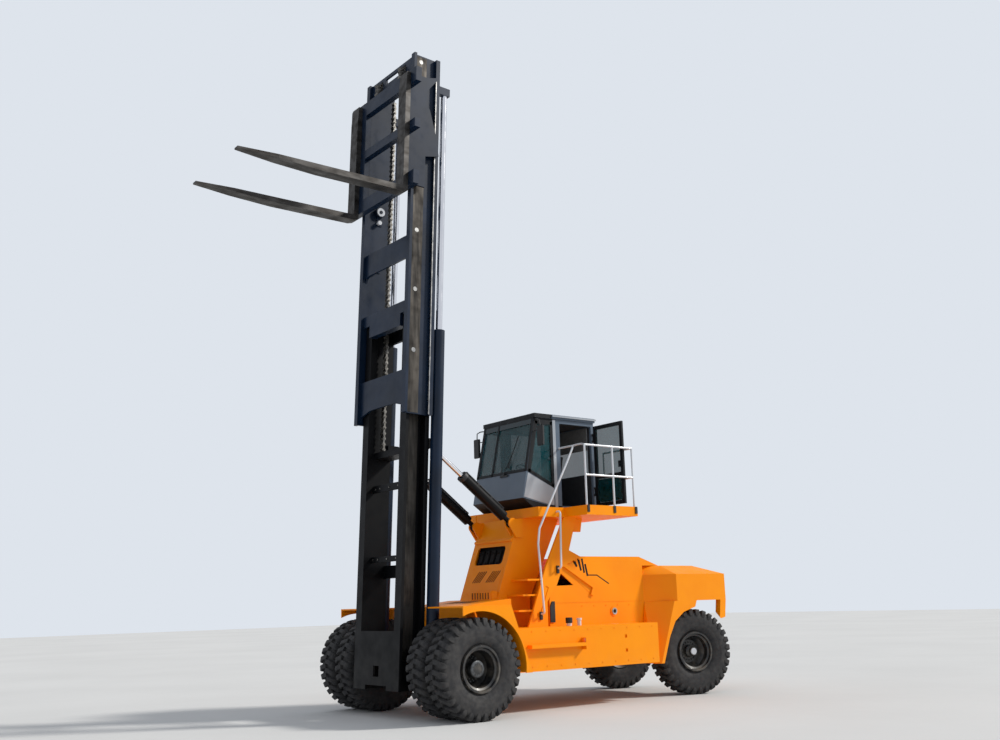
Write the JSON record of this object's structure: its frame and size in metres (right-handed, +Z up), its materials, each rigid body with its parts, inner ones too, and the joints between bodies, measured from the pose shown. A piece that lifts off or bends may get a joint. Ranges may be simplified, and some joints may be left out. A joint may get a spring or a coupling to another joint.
{
  "type": "forklift truck",
  "caption": "Heavy counterbalanced forklift truck: raised two-stage mast with forks, twin front wheels, steered rear wheels, tall orange chassis and a hollow cab with an open door.",
  "frame": {"origin": "on the floor under the middle of the truck's outer box", "axes": "+X forward along the forks, +Y to the truck's left, +Z up"},
  "size_m": [10.5992, 3.96, 11.9585],
  "materials": {
    "orange_paint": "gloss",
    "mast_paint": "satin",
    "axle_black": "satin",
    "engine_grey": "matte",
    "cab_grey": "satin",
    "door_black": "satin",
    "glass": "gloss",
    "seat_fabric": "matte",
    "black_plastic": "matte",
    "rail_silver": "satin",
    "tyre": "matte",
    "rim_black": "satin",
    "chrome": "polished",
    "chain_steel": "satin",
    "fork_steel": "satin"
  },
  "bodies": {
    "chassis": {"chassis_frame": "orange_paint", "drive_axle": "axle_black", "rear_axle_beam": "axle_black", "fender_left": "orange_paint", "fender_right": "orange_paint", "side_box_left": "orange_paint", "side_box_right": "orange_paint", "hood": "orange_paint", "engine": "engine_grey", "front_deck": "orange_paint", "filler_necks": "rail_silver", "stair_treads": "orange_paint", "tower": "orange_paint", "side_legs": "orange_paint", "cab_base": "orange_paint", "cab_nose": "cab_grey", "cab_frame": "cab_grey", "cab_right_wall": "cab_grey", "cab_rear_wall": "cab_grey", "cab_roof": "cab_grey", "cab_floor": "cab_grey", "cab_glass": "glass", "door_hinges": "axle_black", "seat": "seat_fabric", "console": "black_plastic", "steering_wheel": "black_plastic", "handrails": "rail_silver", "counterweight": "orange_paint"},
    "front_wheels_left": {"tyres_front_left": "tyre", "rims_front_left": "rim_black"},
    "front_wheels_right": {"tyres_front_right": "tyre", "rims_front_right": "rim_black"},
    "knuckle_left": {"knuckle_left": "axle_black"},
    "knuckle_right": {"knuckle_right": "axle_black"},
    "rear_wheel_left": {"tyre_rear_left": "tyre", "rim_rear_left": "rim_black"},
    "rear_wheel_right": {"tyre_rear_right": "tyre", "rim_rear_right": "rim_black"},
    "fixed_mast": {"fixed_mast": "mast_paint", "lift_barrels": "mast_paint", "chains_back": "chain_steel"},
    "moving_mast": {"moving_mast": "mast_paint", "lift_rods": "chrome", "chain_pulleys": "chain_steel"},
    "carriage": {"carriage": "mast_paint", "fork_left": "fork_steel", "fork_right": "fork_steel"},
    "tilt_barrel_left": {"tilt_barrel_left": "mast_paint"},
    "tilt_rod_left": {"tilt_rod_left": "chrome"},
    "tilt_barrel_right": {"tilt_barrel_right": "mast_paint"},
    "tilt_rod_right": {"tilt_rod_right": "chrome"},
    "cab_door": {"door_frame": "door_black", "door_glass": "glass"}
  },
  "joints": [
    {"name": "front_left_roll", "type": "hinge", "parent": "chassis", "child": "front_wheels_left", "pos_m": [1.40041, 1.46, 0.8075], "axis": [0, 1, 0], "continuous": true},
    {"name": "front_right_roll", "type": "hinge", "parent": "chassis", "child": "front_wheels_right", "pos_m": [1.40041, -1.46, 0.8075], "axis": [0, 1, 0], "continuous": true},
    {"name": "steer_left", "type": "hinge", "parent": "chassis", "child": "knuckle_left", "pos_m": [-4.36959, 0.8, 0.8075], "axis": [0, 0, 1], "range_deg": [-25.3, 54.7]},
    {"name": "steer_right", "type": "hinge", "parent": "chassis", "child": "knuckle_right", "pos_m": [-4.36959, -0.8, 0.8075], "axis": [0, 0, 1], "range_deg": [-25.3, 54.7]},
    {"name": "rear_left_roll", "type": "hinge", "parent": "knuckle_left", "child": "rear_wheel_left", "pos_m": [-4.2757, 1.15789, 0.8075], "axis": [0.2538, 0.9673, 0], "continuous": true},
    {"name": "rear_right_roll", "type": "hinge", "parent": "knuckle_right", "child": "rear_wheel_right", "pos_m": [-4.46348, -1.15789, 0.8075], "axis": [0.2538, 0.9673, 0], "continuous": true},
    {"name": "mast_tilt", "type": "hinge", "parent": "chassis", "child": "fixed_mast", "pos_m": [1.40041, 0, 0.8075], "axis": [0, 1, 0], "range_deg": [-7.52, 7.48]},
    {"name": "mast_lift", "type": "slide", "parent": "fixed_mast", "child": "moving_mast", "axis": [-0.0433, 0, 0.9991], "range_m": [-4.48, 0], "deforming": ["chains_back"]},
    {"name": "carriage_lift", "type": "slide", "parent": "moving_mast", "child": "carriage", "axis": [-0.0433, 0, 0.9991], "range_m": [-4.48, 0]},
    {"name": "tilt_cylinder_left", "type": "hinge", "parent": "chassis", "child": "tilt_barrel_left", "pos_m": [-0.36459, 0.56, 3.262], "axis": [0, 1, 0], "range_deg": [-8.8, 8.8]},
    {"name": "tilt_rod_left", "type": "slide", "parent": "tilt_barrel_left", "child": "tilt_rod_left", "axis": [0.7971, 0, 0.6038], "range_m": [-0.4, 0.4]},
    {"name": "tilt_cylinder_right", "type": "hinge", "parent": "chassis", "child": "tilt_barrel_right", "pos_m": [-0.36459, -0.56, 3.262], "axis": [0, 1, 0], "range_deg": [-8.8, 8.8]},
    {"name": "tilt_rod_right", "type": "slide", "parent": "tilt_barrel_right", "child": "tilt_rod_right", "axis": [0.7971, 0, 0.6038], "range_m": [-0.4, 0.4]},
    {"name": "cab_door", "type": "hinge", "parent": "chassis", "child": "cab_door", "pos_m": [-2.29459, 0.812, 4.4], "axis": [0, 0, 1], "range_deg": [-90, 0]}
  ],
  "couplings": [
    {"joint": "steer_right", "follows": "steer_left", "ratio": 1},
    {"joint": "carriage_lift", "follows": "mast_lift", "ratio": 1},
    {"joint": "tilt_cylinder_left", "follows": "mast_tilt", "ratio": 1.035},
    {"joint": "tilt_rod_left", "follows": "mast_tilt", "m_per_rad": 3.02},
    {"joint": "tilt_cylinder_right", "follows": "mast_tilt", "ratio": 1.035},
    {"joint": "tilt_rod_right", "follows": "mast_tilt", "m_per_rad": 3.02}
  ]
}
